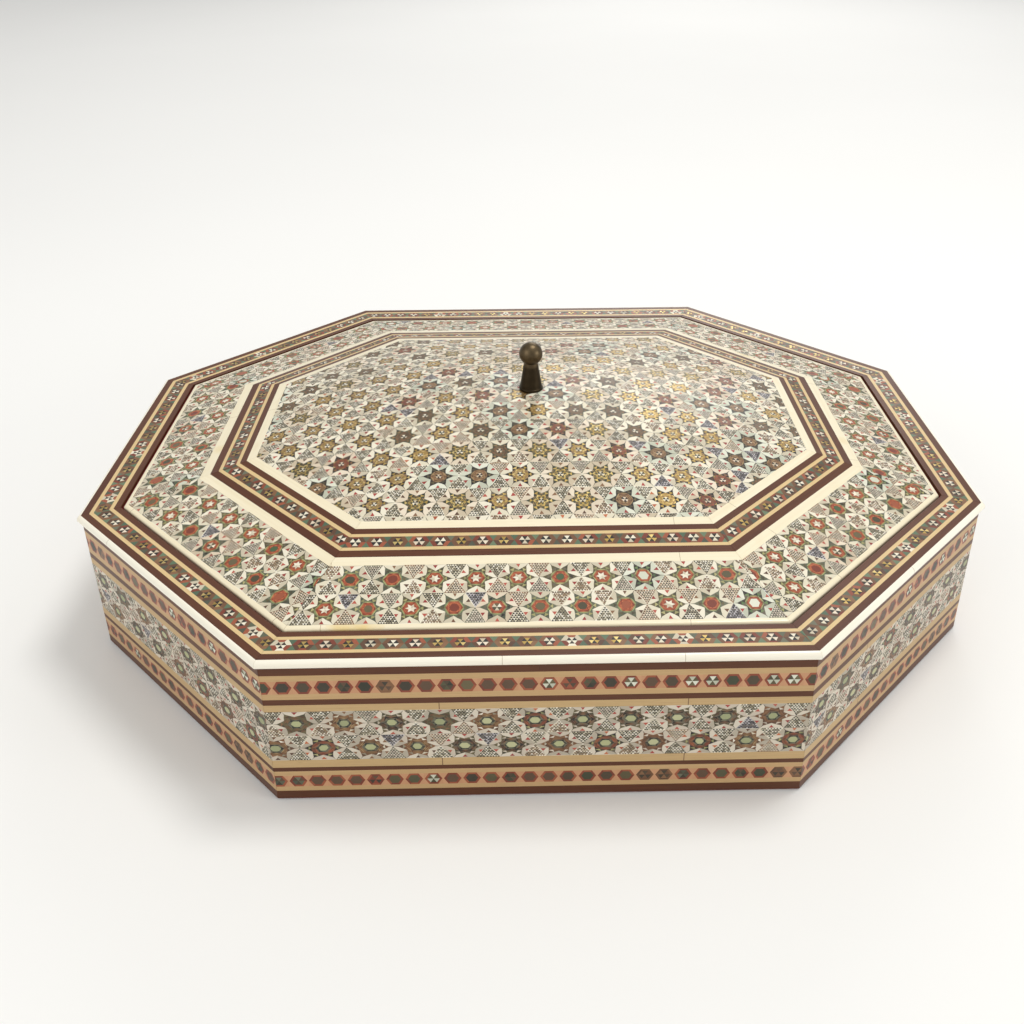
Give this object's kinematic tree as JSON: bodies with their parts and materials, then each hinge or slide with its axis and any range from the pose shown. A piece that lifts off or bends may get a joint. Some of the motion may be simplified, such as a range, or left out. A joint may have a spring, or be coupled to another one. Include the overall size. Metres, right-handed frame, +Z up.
{
  "type": "inlaid wooden box",
  "caption": "Low eight-sided wooden box with mosaic inlay on walls, rim and lid, velvet lining and a lift-off domed lid with a small brass knob.",
  "frame": {"origin": "centre of the underside, on the table", "axes": "+X to the right along the box's length, +Y to the back, +Z up, the way the lid lifts"},
  "size_m": [0.3028, 0.2508, 0.0907],
  "materials": {
    "core_wood": "plain sawn softwood",
    "brown_wood": "satin lacquer, fine grain",
    "yellow_wood": "satin lacquer",
    "tan_wood": "satin lacquer, fine grain",
    "hexagon_inlay": "lacquered rod inlay in tan wood",
    "flower_inlay": "lacquered rod inlay with brass",
    "wall_star_inlay": "lacquered rod inlay with brass",
    "lid_star_inlay": "lacquered rod inlay with brass",
    "centre_inlay": "glossy lacquered rod inlay with brass",
    "ivory": "bone-like strip, polished",
    "white_edging": "white strip, polished",
    "velvet": "short pile velvet",
    "felt": "thin felt",
    "aged_brass": "aged, dark, softly polished",
    "steel": "zinc plated"
  },
  "bodies": {
    "box": {"base_felt": "felt", "base_board": "core_wood", "wall_front": "core_wood", "wall_front_right": "core_wood", "wall_right": "core_wood", "wall_back_right": "core_wood", "wall_back": "core_wood", "wall_back_left": "core_wood", "wall_left": "core_wood", "wall_front_left": "core_wood", "ledge_front": "core_wood", "ledge_front_right": "core_wood", "ledge_right": "core_wood", "ledge_back_right": "core_wood", "ledge_back": "core_wood", "ledge_back_left": "core_wood", "ledge_left": "core_wood", "ledge_front_left": "core_wood", "velvet_floor": "velvet", "velvet_sides": "velvet", "velvet_ledge": "velvet", "velvet_wall": "velvet", "white_edging": "white_edging", "wall_brown_upper": "brown_wood", "wall_hexagons_upper": "hexagon_inlay", "wall_brown_middle": "brown_wood", "wall_fillet_upper": "tan_wood", "wall_star_band": "wall_star_inlay", "wall_fillet_lower": "tan_wood", "wall_brown_lower": "brown_wood", "wall_hexagons_lower": "hexagon_inlay", "wall_plinth": "brown_wood", "rim_brown_outer": "brown_wood", "rim_yellow_outer": "yellow_wood", "rim_flower_band": "flower_inlay", "rim_yellow_inner": "yellow_wood", "rim_brown_inner": "brown_wood"},
    "lid": {"lid_boards": "core_wood", "lid_centre_board": "core_wood", "lid_velvet": "velvet", "lid_ivory_edge": "ivory", "lid_star_band": "lid_star_inlay", "lid_ivory_outer": "ivory", "lid_brown_outer": "brown_wood", "lid_yellow_outer": "yellow_wood", "lid_flower_band": "flower_inlay", "lid_yellow_inner": "yellow_wood", "lid_brown_inner": "brown_wood", "lid_ivory_inner": "ivory", "lid_centre_inlay": "centre_inlay", "knob": "aged_brass", "knob_screw": "steel", "knob_washer": "aged_brass"}
  },
  "joints": [
    {"name": "lid_lift", "type": "slide", "parent": "box", "child": "lid", "axis": [0, 0, 1], "range_m": [0, 0.1]}
  ]
}
